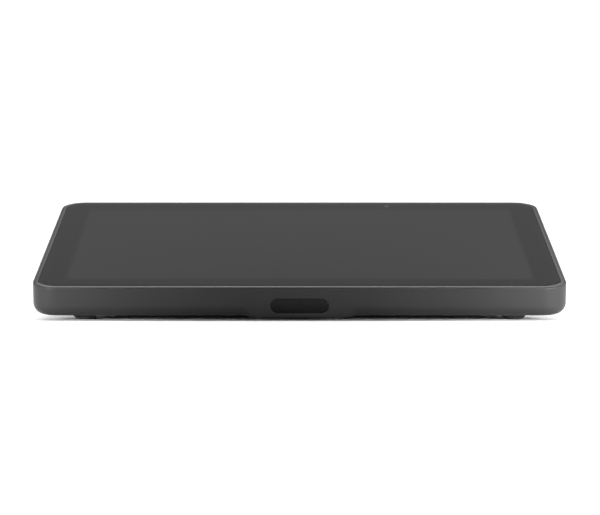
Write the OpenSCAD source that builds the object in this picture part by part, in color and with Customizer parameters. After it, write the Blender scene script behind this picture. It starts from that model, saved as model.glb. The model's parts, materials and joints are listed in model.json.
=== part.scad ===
// Table-top touch display: a tilted glass slab on a wedge base with a cable bay.
// +X is to the viewer's right, +Y runs from the front edge to the back, +Z is up.
// The origin is the centre of the footprint, on the table.

/* [Screen] */
// Width of the visible screen
view_w = 212.4; // [190:0.1:260]
// Length of the visible screen, front to back
view_l = 132.7; // [125:0.1:165]
// Dark border of the glass at each side
border_side = 12.4; // [11:0.05:20]
// Dark border of the glass at the front
border_front = 12.2; // [11:0.05:20]
// Dark border of the glass at the back
border_back = 14.8; // [14:0.05:24]
// Thickness of the cover glass
glass_t = 1.8; // [1.1:0.1:3]
// Thickness of the screen panel with its backlight
panel_t = 2.8; // [2:0.1:4]

/* [Rim] */
// Outer chamfer of the housing's top edge
rim_chamfer = 0.4; // [0.3:0.05:1]
// Flat land between the chamfer and the trim ring
rim_land = 1; // [0.2:0.05:1.2]
// Width of the bright trim ring
trim_w = 0.9; // [0.6:0.05:1.5]
// Height of the trim ring
trim_h = 1.9; // [1.5:0.1:2.2]
// Gap between the trim ring and the glass
trim_gap = 0.1; // [0.05:0.01:0.3]

/* [Housing] */
// Tilt of the screen above the table, in degrees
tilt = 14; // [11:0.5:18]
// Gap between the table and the underside plane at the front edge
front_gap = 0.93; // [0.5:0.01:3]
// Height inside the slab for the main board
board_space = 5.3; // [4.4:0.1:8]
// Plan radius of the slab's corners
corner_r = 12; // [9:0.5:16]
// Radius of the slab's rounded lower edge
belly_r = 5.4; // [4:0.1:7.5]
// Housing wall and floor thickness
wall = 2; // [1.5:0.1:2.5]
// Width of the ledge that the glass rests on
ledge_w = 3; // [2:0.1:4]
// Thickness of that ledge
ledge_t = 1.6; // [1:0.1:2]

/* [Sensor window] */
// Length of the pill-shaped window
pill_l = 26.2; // [20:0.1:32]
// Height of the pill-shaped window
pill_h = 6.7; // [4.5:0.05:6.9]
// Height of the window's centre above the underside
pill_up = 5.65; // [5:0.05:7]
// Width of the chin around the window
chin_w = 40; // [36:1:60]
// Radius of the chin's lower front edge
chin_r = 1.2; // [0.5:0.1:3]
// Radius that blends each side of the chin into the slab
chin_blend = 5; // [2:0.5:8]

/* [Base] */
// From the slab's side to the base's side
base_side_in = 15; // [12:0.5:25]
// From the slab's front edge to the base's front
base_front_in = 12; // [11:0.5:20]
// From the slab's back to the base's back
base_back_in = 12; // [8:0.5:20]
// Plan radius of the base's corners
base_r = 9; // [6:0.5:20]
// Base wall thickness
base_wall = 2.2; // [1.6:0.1:3]
// Base floor thickness
base_floor = 2; // [1.6:0.1:3]
// Height of the base's underside above the table
foot_h = 2.4; // [2:0.1:5]

/* [Feet] */
// Radius of a foot's dome
dome_r = 6.6; // [6.1:0.1:20]
// Radius of the flat that touches the table
foot_flat_r = 3.9; // [2:0.1:6]
// From the base's side to the middle of a foot
foot_side_in = 8.2; // [7.2:0.1:20]
// From the base's front to a front foot
foot_front_in = 8; // [7:0.5:20]
// From the base's back to a back foot
foot_back_in = 12; // [10:0.5:30]
// Radius of the spigot that holds a foot
spigot_r = 3; // [2:0.1:5]
// Depth of the spigot's hole
spigot_h = 1; // [0.6:0.1:1.5]

/* [Cable bay] */
// Width of the cable bay
bay_w = 80; // [70:1:90]
// Length of the cable bay, from the base's back
bay_l = 60; // [50:1:64]
// Thickness of the bay's side and front walls
bay_wall = 3; // [2.4:0.1:4]
// Thickness of the bay's ceiling
bay_ceiling = 1.6; // [1.2:0.1:2.4]
// Width of the cable exit
exit_w = 28; // [16:1:36]
// Height of the cable exit above the base's underside
exit_h = 11; // [8:0.5:14]
// Thickness of the sliding cover
cover_t = 2; // [1.6:0.1:3]
// Thickness of the cover's side tongues
tongue_t = 0.9; // [0.7:0.1:1.2]
// How far the tongues reach into the grooves
tongue_w = 1.3; // [0.8:0.1:1.6]
// Gap round the sliding cover
cover_gap = 0.3; // [0.2:0.05:0.5]

/* [Mounting] */
// Spacing of the four threaded inserts, both ways
insert_pitch = 100; // [75:1:100]
// Thread radius of an insert
insert_r = 2; // [1.5:0.05:3]
// Wall of an insert
insert_wall = 0.9; // [0.6:0.05:1.5]
// Radius of the headphone socket's bore
jack_r = 1.8; // [1.2:0.05:1.8]
// Depth of the headphone socket's bore
jack_l = 14; // [10:0.5:16]

/* [Hidden] */
$fn = 64;

// Small clearances between pieces that are fastened together
fit = 0.1;       // round a seated piece
snug = 0.02;     // round a pressed piece
eps = 0.01;      // overshoot of a cut

// Thin layers of the screen stack
ink_t = 0.1;
touch_t = 0.4;
gasket_t = 0.5;
tray_t = 0.4;
tray_lip = 0.5;
pad_t = 0.5;
plate_t = 1;
spreader_t = 0.3;
thermal_t = 0.5;
panel_margin = 3.5;   // the panel is this much larger than the visible screen

// Plan of the slab
rim_w = rim_chamfer + rim_land + trim_w + trim_gap;
slab_w = view_w + 2 * (border_side + rim_w);
slab_l = view_l + border_front + border_back + 2 * rim_w;
view_u = rim_w + border_front;          // front edge of the visible screen

// Heights in the slab, from the glass's top face down
w_glass = -glass_t;
w_ink = w_glass - ink_t;
w_ledge = w_ink - gasket_t;
w_touch = w_ink - touch_t;
w_panel = w_touch - panel_t;
w_tray = w_panel - tray_t;
w_pad = w_tray - pad_t;
w_plate = w_pad - plate_t;
w_floor = w_plate - board_space;
slab_t = wall - w_floor;
belly = min(belly_r, slab_t / 2);

// Place of the slab over the table
z0 = front_gap + slab_t * cos(tilt);
slab_y = (slab_l - belly) * cos(tilt) + (slab_t - belly) * sin(tilt) + belly;
y0 = -(slab_y + rim_chamfer * sin(tilt)) / 2;
y_back = y0 + slab_y;
// Height of the slab's underside over a point of the table
function under(y) = front_gap + (y - y0 - slab_t * sin(tilt)) * tan(tilt);
// Place along the slab of what stands at y, at height w in the slab
function along(y, w) = (y - y0 + w * sin(tilt)) / cos(tilt);

// Main board, centred in the slab
board_w = 120;
board_l = 80;
board_t = 1;
standoff_h = 1.3;
board_u = (slab_l - board_l) / 2;
w_board_low = w_floor + standoff_h;
w_board = w_board_low + board_t;
shield_h = w_plate - spreader_t - thermal_t - w_board;
shield_w = 52;
shield_l = 40;
shield_at = [-42, 22];
board_hole_in = 4;

// Chassis screws stand beside the panel tray
chassis_x = slab_w / 2 - 8.1;
chassis_us = [view_u + 6, slab_l / 2, slab_l - view_u - 6];
boss_r = 2.6;
plate_in = wall + ledge_w + 0.5;

// Sensor window
w_pill = -slab_t + pill_up;
pocket_l = pill_l + 5;
pocket_h = pill_h + 1.8;
flange_t = 0.8;
lens_gasket_t = 0.4;
sensor_u = 6.2;
sensor_board_t = 1;

// Ambient light sensor, under the glass at the back
light_x = 44.4;
light_in = 8.9;
light_r = 0.8;
touch_x = -38;       // the touch sensor's flexible circuit

// Base
base_w = slab_w - 2 * base_side_in;
base_y0 = y0 + base_front_in;
base_y1 = y_back - base_back_in;
base_l = base_y1 - base_y0;
floor_z = foot_h + base_floor;

// Feet
foot_x = base_w / 2 - foot_side_in;
foot_c = sqrt(dome_r * dome_r - foot_flat_r * foot_flat_r);
foot_y0 = base_y0 + foot_front_in;
foot_y1 = base_y1 - foot_back_in;

// Cable bay
bay_y0 = base_y1 - bay_l;
bay_z1 = under(bay_y0 - bay_wall) - bay_ceiling - 0.4;
cover_z = foot_h + cover_gap;
tongue_z = cover_z + cover_t - tongue_t;
groove_z0 = tongue_z - cover_gap;
groove_z1 = tongue_z + tongue_t + cover_gap;
cover_w = bay_w - 2 * cover_gap;
cover_l = bay_l - 2 * cover_gap;
grommet_t = 1.6;

// Mounting
insert_out = insert_r + insert_wall;
insert_boss = insert_out + 1.6;
insert_h = under(-insert_pitch / 2 - insert_boss) - foot_h - 0.3;
base_screw_x = base_w / 2 - 24;
base_screw_ys = [base_y0 + 30, base_y1 - 14];
screw_r = 1.5;
screw_head_r = 2.8;
screw_head_h = 1.6;
head_sink = 0.6;
pilot_h = 5;         // reach of the base's screws into the slab, with their holes

// Socket board, over the ballast plate
ballast_t = 2;
io_t = 1.6;
io_w = 74;
io_l = 27;
io_y1 = bay_y0 - bay_wall - 0.3;
io_y0 = io_y1 - io_l;
usb_x = -24;
video_x = -5;
power_x = 17;
reset_x = 30;
usb_size = [9, 9, 3.3];
video_size = [15, 12, 6];
power_size = [9, 14, 8];
// The tallest socket sets the board's height: its inner end stays clear of the slab
socket_gap = 1.7;
io_top = under(bay_y0 - power_size[1]) - socket_gap - power_size[2];
io_z = io_top - io_t;
reset_r = 1.5;
reset_fit = 0.05;
reset_travel = 0.6;
reset_z = io_top + 3;
io_slot_u = along(io_y0 + 8, w_floor - wall / 2);

// Headphone socket and lock slot, in the base's side walls
jack_y = base_y1 - 34;
jack_z = foot_h + 11.8;
jack_nose_r = 3;
jack_size = [12, 8, 6.4];
jack_board_t = 1.2;
lock_y = base_y1 - 30;
lock_z = foot_h + 11.6;
lock_slot = [7, 3.2];
lock_t = 2;

graphite = [0.2, 0.2, 0.2];
dark = [0.1, 0.1, 0.11];
steel = [0.7, 0.7, 0.72];
board_green = [0.08, 0.3, 0.18];
amber = [0.75, 0.45, 0.12];

// ---- Shapes that repeat

module on_slab() {
    translate([0, y0, z0]) rotate([tilt, 0, 0]) children();
}

// Rounded rectangle, centred in x, from y = 0 to y = l
module rounded(w, l, r) {
    translate([-w / 2, r]) square([w, l - 2 * r]);
    translate([r - w / 2, 0]) square([w - 2 * r, l]);
    for (x = [r - w / 2, w / 2 - r], y = [r, l - r]) translate([x, y]) circle(r);
}

// Plate inset from the slab's outline, between two heights in the slab
module slab_plate(inset, top, bottom) {
    r = max(corner_r - inset, 0.5);
    translate([0, inset, bottom])
        linear_extrude(top - bottom) rounded(slab_w - 2 * inset, slab_l - 2 * inset, r);
}

// Plate centred on the visible screen and larger by a margin
module view_plate(margin, top, bottom, r = 1) {
    translate([0, view_u - margin, bottom])
        linear_extrude(top - bottom) rounded(view_w + 2 * margin, view_l + 2 * margin, r);
}

// Half of the slab's section: chamfered top edge and rounded lower edge at x = r
module half_section(r, t, low, cham) {
    difference() {
        translate([0, -t]) square([r, t]);
        translate([r - low, -t]) difference() {
            square([low + eps, low]);
            translate([0, low]) circle(low);
        }
        polygon([[r - cham, eps], [r + eps, eps], [r + eps, -cham], [r, -cham], [r - cham, 0]]);
    }
}

// Whole section of length l
module full_section(l, t, low, cham) {
    translate([l / 2, 0]) half_section(l / 2, t, low, cham);
    translate([l / 2, 0]) mirror([1, 0]) half_section(l / 2, t, low, cham);
}

// Slab with rounded corners, chamfered top and rounded lower edge
module bowl(w, l, r, t, low, cham) {
    translate([r - w / 2, 0, 0])
        rotate([90, 0, 90]) linear_extrude(w - 2 * r) full_section(l, t, low, cham);
    translate([-w / 2, l - r, 0])
        rotate([90, 0, 0]) linear_extrude(l - 2 * r) full_section(w, t, low, cham);
    for (x = [r - w / 2, w / 2 - r], y = [r, l - r])
        translate([x, y, 0]) rotate_extrude() half_section(r, t, low, cham);
}

// Pill-shaped block on the slab's front face, from depth u0 to u1
module pill(l, h, u0, u1) {
    translate([0, u1, w_pill]) rotate([90, 0, 0]) linear_extrude(u1 - u0) {
        square([l - h, h], center = true);
        for (x = [-1, 1]) translate([x * (l - h) / 2, 0]) circle(h / 2);
    }
}

// Pan-head screw that points up, with a six-sided recess in its head
module screw_up(head_r, head_h, shank_r, len) {
    difference() {
        union() {
            cylinder(r = head_r, h = head_h);
            translate([0, 0, head_h]) cylinder(r = shank_r, h = len);
        }
        translate([0, 0, -eps]) cylinder(r = shank_r * 0.7, h = head_h * 0.6, $fn = 6);
    }
}

// The same screw, pointing down from z = 0
module screw_down(head_r, head_h, shank_r, len) {
    translate([0, 0, head_h]) mirror([0, 0, 1]) screw_up(head_r, head_h, shank_r, len);
}

// Slot for a strip that passes the mid plate behind the panel, or a socket for it
module flex_places() {
    for (x = [0, touch_x]) translate([x, 0, 0]) children();
}

// Flat strip along a path of points, wide in x
module ribbon(points, t, w) {
    translate([-w / 2, 0, 0]) rotate([90, 0, 90]) linear_extrude(w) {
        for (i = [0 : len(points) - 2]) {
            d = points[i + 1] - points[i];
            translate(points[i]) rotate(atan2(d[1], d[0]))
                translate([0, -t / 2]) square([norm(d), t]);
        }
        for (i = [1 : len(points) - 2]) translate(points[i]) circle(t / 2);
    }
}

module four(xs, ys) {
    for (x = xs, y = ys) translate([x, y, 0]) children();
}

module base_screw_places() {
    four([-base_screw_x, base_screw_x], base_screw_ys) children();
}

module chassis_places() {
    for (x = [-chassis_x, chassis_x], u = chassis_us) translate([x, u, 0]) children();
}

module board_screw_places() {
    h = board_hole_in;
    four([h - board_w / 2, board_w / 2 - h], [board_u + h, board_u + board_l - h]) children();
}

module insert_places() {
    four([-insert_pitch / 2, insert_pitch / 2], [-insert_pitch / 2, insert_pitch / 2]) children();
}

// Everything above the slab's underside plane
module over_underside() {
    on_slab() translate([-slab_w, -slab_l, -slab_t]) cube([2 * slab_w, 3 * slab_l, slab_l]);
}

// ---- Screen stack

module cover_glass() {
    r = corner_r - rim_w;
    edge = 0.15;
    color(dark) on_slab() translate([0, rim_w, 0])
        bowl(slab_w - 2 * rim_w, slab_l - 2 * rim_w, r, glass_t, edge, edge);
}

module border_mask() {
    color("black") on_slab() difference() {
        slab_plate(rim_w + 0.2, w_glass, w_ink);
        view_plate(0, w_glass + eps, w_ink - eps);
        translate([light_x, slab_l - light_in, w_ink - eps]) cylinder(r = light_r, h = 1);
    }
}

module touch_sensor() {
    color([0.3, 0.32, 0.34]) on_slab() view_plate(panel_margin - 0.5, w_ink, w_touch);
}

module screen_panel() {
    color([0.14, 0.14, 0.15]) on_slab() view_plate(panel_margin, w_touch, w_panel);
}

module panel_tray() {
    color(steel) on_slab() difference() {
        view_plate(panel_margin + fit + tray_lip, w_touch, w_tray);
        view_plate(panel_margin + fit, w_touch + eps, w_panel);
    }
}

module panel_pads() {
    l = 12;
    color([0.2, 0.2, 0.22]) on_slab()
        for (x = [-view_w / 2 + 10, 0, view_w / 2 - 10], u = [view_u + 6, view_u + view_l - 6])
            translate([x - l / 2, u - l / 4, w_pad]) cube([l, l / 2, pad_t]);
}

module glass_gasket() {
    color("black") on_slab() difference() {
        slab_plate(wall + 0.3, w_ink, w_ledge);
        slab_plate(wall + ledge_w - 0.2, w_ink + eps, w_ledge - eps);
    }
}

module trim_ring() {
    outer = rim_chamfer + rim_land;
    cham = 0.25;
    color([0.62, 0.62, 0.63]) on_slab() difference() {
        translate([0, outer, 0])
            bowl(slab_w - 2 * outer, slab_l - 2 * outer, corner_r - outer, trim_h, cham, cham);
        slab_plate(outer + trim_w, 1, -trim_h - 1);
    }
}

// ---- Housing

// Front elevation of the chin: square foot with a concave blend at each side
module chin_outline() {
    h = belly + 2;
    b = min(chin_blend, belly);
    translate([-chin_w / 2, -slab_t]) square([chin_w, h]);
    for (s = [-1, 1]) translate([s * chin_w / 2, -slab_t]) scale([s, 1]) difference() {
        translate([-eps, 0]) square([b, h]);
        translate([b, 0]) circle(b);
    }
}

module chin() {
    depth = belly + 1;
    intersection() {
        translate([0, depth, 0]) rotate([90, 0, 0]) linear_extrude(depth) chin_outline();
        translate([-slab_w / 2, 0, 0]) rotate([90, 0, 90]) linear_extrude(slab_w)
            difference() {
                translate([0, -slab_t]) square([depth, slab_t - 1]);
                translate([-eps, -slab_t - eps]) difference() {
                    square([chin_r, chin_r]);
                    translate([chin_r + eps, chin_r + eps]) circle(chin_r);
                }
            }
    }
}

// Upright bosses inside the slab that take the base's screws
module base_screw_bosses() {
    intersection() {
        on_slab() translate([-slab_w, 0, w_floor - wall / 2]) cube([2 * slab_w, slab_l, slab_t]);
        for (y = base_screw_ys) four([-base_screw_x, base_screw_x], [y])
            cylinder(r = 3, h = under(y) + pilot_h + 0.8);
    }
}

module display_housing() {
    low = belly - wall;
    in_r = corner_r - wall;
    boss_top = w_plate;
    color(graphite) difference() {
        base_screw_bosses();
        base_pilots();
    }
    color(graphite) difference() {
        on_slab() difference() {
            union() {
                difference() {
                    union() {
                        bowl(slab_w, slab_l, corner_r, slab_t, belly, rim_chamfer);
                        chin();
                    }
                    translate([0, wall, 1])
                        bowl(slab_w - 2 * wall, slab_l - 2 * wall, in_r, 1 - w_floor, low, 0);
                }
                difference() {
                    slab_plate(wall - eps, w_ledge, w_ledge - ledge_t);
                    slab_plate(wall + ledge_w, w_ledge + eps, w_ledge - ledge_t - eps);
                }
                chassis_places() translate([0, 0, w_floor - eps])
                    cylinder(r = boss_r, h = boss_top - w_floor + eps);
                board_screw_places() translate([0, 0, w_floor - eps])
                    cylinder(r = boss_r, h = standoff_h + eps);
                translate([-11, io_slot_u - 4, w_floor - eps]) cube([22, 8, 0.8]);
            }
            slab_plate(rim_chamfer + rim_land - fit / 2, 1, -trim_h);
            chassis_places() translate([0, 0, w_floor]) cylinder(r = 1, h = slab_t);
            board_screw_places() translate([0, 0, w_floor - 1]) cylinder(r = 1, h = slab_t);
            pill(pill_l, pill_h, -1, wall + 3);
            translate([-pocket_l / 2, wall, w_pill - pocket_h / 2])
                cube([pocket_l, belly + 1 - wall, pocket_h]);
            translate([-9, io_slot_u - 2, -slab_t - 1]) cube([18, 4, wall + 3]);
        }
        base_pilots();
    }
}

module base_pilots() {
    for (y = base_screw_ys) four([-base_screw_x, base_screw_x], [y])
        cylinder(r = screw_r + 0.05, h = under(y) + pilot_h);
}

// ---- Chassis and its screws

module mid_plate() {
    r = corner_r - plate_in;
    color([0.66, 0.67, 0.69]) on_slab() difference() {
        slab_plate(plate_in, w_pad, w_plate);
        chassis_places() translate([0, 0, w_plate - 1]) cylinder(r = 1.2, h = plate_t + 2);
        translate([-pocket_l / 2 - 2, 0, w_plate - 1])
            cube([pocket_l + 4, view_u, plate_t + 2]);
        flex_places() translate([-16, view_u + view_l + 2, w_plate - 1])
            cube([32, 30, plate_t + 2]);
        for (x = [-60 : 20 : 60], u = [view_u + 20, view_u + view_l - 20])
            translate([x, u, w_plate - 1]) cylinder(r = 3, h = plate_t + 2);
    }
}

module chassis_screws() {
    color(steel) on_slab() chassis_places() translate([0, 0, w_pad])
        screw_down(2.2, 0.9, 0.95, plate_t + 4);
}

// ---- Sensor window

module sensor_lens() {
    lens_in = lens_gasket_t + wall;
    color([0.05, 0.05, 0.055]) on_slab() {
        pill(pill_l - 2 * fit, pill_h - 2 * fit, 0.1, lens_in + eps);
        pill(pill_l + 3, pill_h + 1.4, lens_in, lens_in + flange_t);
    }
}

module lens_gasket() {
    color("black") on_slab() difference() {
        pill(pill_l + 3, pill_h + 1.4, wall, wall + lens_gasket_t);
        pill(pill_l, pill_h, 0, belly);
    }
}

module sensor_board() {
    color(board_green) on_slab()
        translate([-14, sensor_u, w_floor + 0.3]) cube([28, sensor_board_t, 6.6]);
}

module motion_sensor() {
    color(steel) on_slab() for (place = [[0, 2.6], [-8, 1.3], [8, 1.3]])
        translate([place[0], sensor_u, w_pill]) rotate([90, 0, 0])
            cylinder(r = place[1], h = 2.2);
}

module sensor_bracket() {
    u = sensor_u + sensor_board_t;
    color(steel) on_slab() {
        translate([-12, u, w_floor]) cube([24, 0.8, 6.4]);
        translate([-12, u, w_floor]) cube([24, 5, 0.8]);
    }
}

module light_sensor() {
    color(board_green) on_slab() translate([light_x, slab_l - light_in, w_ink - 1.2]) {
        translate([-4, -2.5, 0]) cube([8, 5, 0.6]);
        translate([-1, -1, 0.6]) cube([2, 2, 0.6]);
    }
}

// ---- Main board and what is on it

module main_board() {
    color(board_green) on_slab() difference() {
        translate([-board_w / 2, board_u, w_board_low]) cube([board_w, board_l, board_t]);
        board_screw_places() translate([0, 0, w_board_low - 1]) cylinder(r = 1.3, h = 4);
    }
}

module on_board() {
    on_slab() translate([0, board_u, w_board]) children();
}

module shield_can() {
    color(steel) on_board() translate([shield_at[0], shield_at[1], 0]) difference() {
        cube([shield_w, shield_l, shield_h]);
        translate([0.3, 0.3, -eps]) cube([shield_w - 0.6, shield_l - 0.6, shield_h - 0.3]);
    }
}

module processor() {
    color([0.12, 0.12, 0.12]) on_board() translate([shield_at[0] + 6, shield_at[1] + 12, 0])
        cube([15, 15, min(1.2, shield_h - 0.6)]);
}

module memory_chips() {
    h = min(0.8, shield_h - 0.6);
    color([0.12, 0.12, 0.12]) on_board() translate([shield_at[0] + 27, shield_at[1] + 5, 0])
        for (v = [0, 14]) translate([0, v, 0]) cube([12, 10, h]);
}

module wireless_module() {
    color(steel) on_board() translate([24, 50, 0]) cube([22, 18, 1.4]);
}

module antennas() {
    h = 2.8;
    color(amber) on_slab() for (s = [-1, 1])
        translate([s * (slab_w / 2 - 40) - 15, slab_l - wall - 0.25, w_ledge - ledge_t - 0.2 - h])
            cube([30, 0.2, h]);
}

module board_connectors() {
    color([0.85, 0.83, 0.78]) on_slab() {
        flex_places() translate([-12, board_u + board_l - 7, w_board]) cube([24, 5, 1.1]);
        translate([-8, board_u + 2, w_board]) cube([16, 5, 1.1]);
        translate([-8.8, io_slot_u - 1.9, w_board_low - 0.9]) cube([17.6, 1.8, 0.9]);
    }
}

module thermal_pad() {
    color([0.55, 0.6, 0.7]) on_board() translate([shield_at[0] + 6, shield_at[1] + 6, shield_h])
        cube([shield_w - 12, shield_l - 12, thermal_t]);
}

module heat_spreader() {
    color([0.25, 0.25, 0.27]) on_slab()
        translate([-board_w / 2 + 4, board_u + 8, w_plate - spreader_t])
            cube([board_w - 8, board_l - 16, spreader_t]);
}

module board_screws() {
    color(steel) on_slab() board_screw_places() translate([0, 0, w_board])
        screw_down(2.2, 1, 0.95, board_t + 1.8);
}

// ---- Flexible circuits

module screen_flex() {
    u = view_u + view_l + panel_margin + fit + tray_lip;
    w = w_board + 1.3;
    color(amber) on_slab() ribbon([
        [u + 0.05, w_panel], [u + 2.4, w_panel], [u + 3.2, w_panel - 1], [u + 3.2, w + 1],
        [u + 2.4, w], [board_u + board_l - 6, w]
    ], 0.2, 22);
}

module touch_flex() {
    u = view_u + view_l + panel_margin - 0.5;
    w = w_board + 1.3;
    color(amber) on_slab() translate([touch_x, 0, 0]) ribbon([
        [u, (w_ink + w_touch) / 2], [u + 3.2, (w_ink + w_touch) / 2],
        [u + 4.4, w_touch - 1], [u + 4.4, w + 1], [u + 3.6, w], [board_u + board_l - 6, w]
    ], 0.2, 6);
}

module sensor_flex() {
    u = sensor_u + sensor_board_t + 0.85;
    color(amber) on_slab() translate([-4, u, w_board + 1.2])
        cube([8, board_u + 6 - u, 0.2]);
}

module io_flex() {
    y = io_y0 + 8;
    top = z0 + io_slot_u * sin(tilt) + (w_board_low - 0.7) * cos(tilt);
    color(amber) ribbon([
        [y - 3, io_top + 1.7], [y - 1.2, io_top + 1.7], [y - 0.4, io_top + 2.5],
        [y - 0.4, top - 1.6], [y, top]
    ], 0.2, 14);
}

// ---- Socket board

module io_board() {
    color(board_green) {
        difference() {
            translate([-io_w / 2, io_y0, io_z]) cube([io_w, io_l, io_t]);
            io_screw_places() translate([0, 0, io_z - 1]) cylinder(r = 1.3, h = 4);
        }
        translate([-8, io_y0 + 3, io_top - eps]) cube([16, 4, 1.5 + eps]);
    }
}

module io_screw_places() {
    for (x = [4 - io_w / 2, io_w / 2 - 4]) translate([x, io_y0 + 5, 0]) children();
}

module io_screws() {
    color(steel) io_screw_places() translate([0, 0, io_top]) screw_down(2.2, 1, 0.95, io_t + 2.6);
}

// Socket shell: a block with its mouth in the bay's front wall
module socket_place(x, size) {
    translate([x - size[0] / 2, bay_y0 - size[1], io_top]) children();
}

module usb_socket() {
    s = usb_size;
    t = 0.3;
    color(steel) socket_place(usb_x, s) difference() {
        translate([s[0] / 2, s[1], 0]) rotate([90, 0, 0]) linear_extrude(s[1])
            rounded(s[0], s[2], s[2] / 2 - 0.05);
        translate([s[0] / 2, s[1] + 1, t]) rotate([90, 0, 0]) linear_extrude(6.4 + 1)
            rounded(s[0] - 2 * t, s[2] - 2 * t, s[2] / 2 - 0.05 - t);
    }
    color("black") socket_place(usb_x, s)
        translate([s[0] / 2 - 3.2, s[1] - 6.5, s[2] / 2 - 0.35]) cube([6.4, 5.6, 0.7]);
}

module video_socket() {
    s = video_size;
    t = 0.4;
    color(steel) socket_place(video_x, s) difference() {
        cube(s);
        translate([0, s[1] + 1, 0]) rotate([90, 0, 0]) linear_extrude(9.5 + 1) polygon([
            [t, 2.2], [2.2, t], [s[0] - 2.2, t], [s[0] - t, 2.2],
            [s[0] - t, s[2] - t], [t, s[2] - t]
        ]);
    }
    color("black") socket_place(video_x, s)
        translate([2.2, s[1] - 9.6, 2.5]) cube([s[0] - 4.4, 8, 1.1]);
}

module power_socket() {
    s = power_size;
    color([0.08, 0.08, 0.08]) socket_place(power_x, s) difference() {
        cube(s);
        translate([s[0] / 2, s[1] + eps, s[2] / 2]) rotate([90, 0, 0]) cylinder(r = 3.1, h = 9.5);
    }
    color(steel) socket_place(power_x, s)
        translate([s[0] / 2, s[1] - 1, s[2] / 2]) rotate([90, 0, 0]) cylinder(r = 0.95, h = 8.6);
}

module reset_switch() {
    y = bay_y0 - bay_wall - 1.2 - reset_travel - 0.2;
    color([0.1, 0.1, 0.1]) translate([reset_x - 3, y - 4, io_top]) cube([6, 4, 4.5]);
}

// Push cap: the stem slides in a bore of the bay's front wall, a collar stops it inside
module reset_button() {
    color([0.75, 0.75, 0.75]) translate([reset_x, bay_y0 - 0.2, reset_z]) rotate([90, 0, 0]) {
        cylinder(r = reset_r, h = bay_wall - 0.2 + 0.3);
        translate([0, 0, bay_wall + 0.1]) cylinder(r = reset_r + 0.7, h = 0.8);
    }
}

// ---- Headphone socket

module audio_board() {
    z = jack_z - jack_size[2] / 2 - jack_board_t;
    color(board_green) difference() {
        translate([base_w / 2 - base_wall - 19, jack_y - 9, z]) cube([18, 18, jack_board_t]);
        for (y = [-7, 7]) translate([base_w / 2 - base_wall - 10, jack_y + y, z - 1])
            cylinder(r = 1.1, h = 4);
    }
}

module audio_jack() {
    x1 = base_w / 2 - base_wall - 0.1;
    nose = base_w / 2 - 0.2;
    color([0.09, 0.09, 0.09]) difference() {
        union() {
            translate([x1 - jack_size[0], jack_y - jack_size[1] / 2, jack_z - jack_size[2] / 2])
                cube(jack_size);
            translate([x1 - 1, jack_y, jack_z]) rotate([0, 90, 0])
                cylinder(r = jack_nose_r, h = nose - x1 + 1);
        }
        translate([nose - jack_l, jack_y, jack_z]) rotate([0, 90, 0])
            cylinder(r = jack_r, h = jack_l + 1);
    }
}

// Round lead from the headphone socket's board to the socket board
module audio_lead() {
    r = 0.9;
    z = io_top + r;
    x0 = base_w / 2 - base_wall - 15;
    y1 = jack_y - 9 - r;
    y0 = io_y0 + 15;
    z1 = jack_z - jack_size[2] / 2;
    color("dimgray") {
        translate([x0, y0, z]) rotate([-90, 0, 0]) cylinder(r = r, h = y1 - y0);
        translate([x0, y0, z]) sphere(r);
        translate([io_w / 2 - 4, y0, z]) rotate([0, 90, 0]) cylinder(r = r, h = x0 - io_w / 2 + 4);
        translate([x0, y1, z]) sphere(r);
        translate([x0, y1, min(z, z1)]) cylinder(r = r, h = abs(z1 - z) + 1);
    }
}

// ---- Base

module base_outline(inset) {
    translate([0, base_y0 + inset])
        rounded(base_w - 2 * inset, base_l - 2 * inset, base_r - inset);
}

module vent_slots() {
    slot_w = 1.6;
    slot_h = 9;
    z = foot_h + 13;
    for (s = [-1, 1], i = [0 : 8]) translate([s * (50 + 4 * i), base_y1 - base_wall - 1, z]) {
        translate([-slot_w / 2, 0, 0]) cube([slot_w, base_wall + 2, slot_h]);
        for (h = [0, slot_h]) translate([0, 0, h]) rotate([-90, 0, 0])
            cylinder(r = slot_w / 2, h = base_wall + 2);
    }
}

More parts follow.
